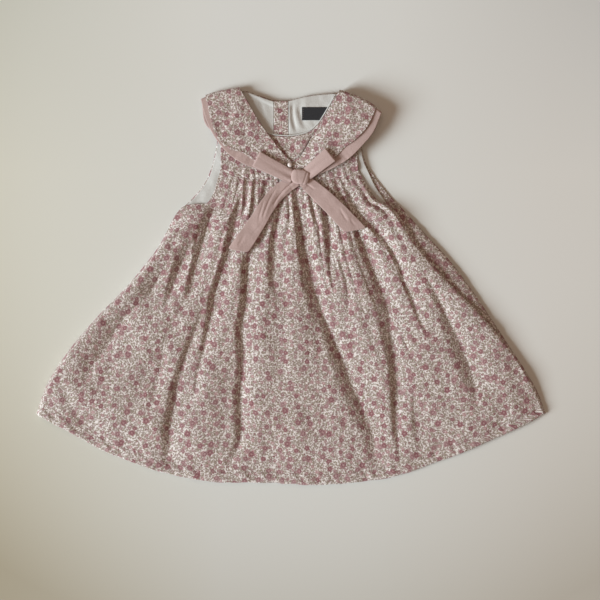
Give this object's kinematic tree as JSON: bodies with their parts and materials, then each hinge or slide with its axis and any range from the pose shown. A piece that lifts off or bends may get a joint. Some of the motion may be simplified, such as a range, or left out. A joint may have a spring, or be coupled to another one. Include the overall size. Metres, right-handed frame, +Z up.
{
  "type": "toddler sundress",
  "caption": "Sleeveless toddler sundress laid flat, gathered skirt, wide two-layer V collar over the shoulders, tied bow and pearl button at the yoke.",
  "frame": {"origin": "middle of the dress's footprint, on the surface that it lies on", "axes": "+Z up from the surface, through the back to the front; +Y towards the neck; +X towards the picture's right, across the hem"},
  "size_m": [0.5848, 0.4558, 0.0138],
  "materials": {
    "printed_cotton": "matte",
    "plain_cotton": "matte",
    "lining_cotton": "matte",
    "label_weave": "satin",
    "pearl": "gloss",
    "loop_thread": "matte"
  },
  "bodies": {
    "root": {"skirt_front": "printed_cotton", "skirt_back": "printed_cotton", "side_turn_right": "printed_cotton", "yoke_front": "printed_cotton", "front_neck_edge": "lining_cotton", "yoke_back_left": "printed_cotton", "lining_back_left": "lining_cotton", "yoke_back_right": "printed_cotton", "lining_back_right": "lining_cotton", "placket": "printed_cotton", "label": "label_weave", "collar_plain_left": "plain_cotton", "collar_print_left": "printed_cotton", "collar_plain_back_left": "plain_cotton", "collar_print_back_left": "printed_cotton", "collar_plain_right": "plain_cotton", "collar_print_right": "printed_cotton", "collar_plain_back_right": "plain_cotton", "collar_print_back_right": "printed_cotton", "bow_loop_left": "plain_cotton", "bow_tail_left": "plain_cotton", "bow_loop_right": "plain_cotton", "bow_tail_right": "plain_cotton", "bow_knot": "plain_cotton", "pearl_button": "pearl", "thread_loop": "loop_thread"}
  },
  "joints": []
}
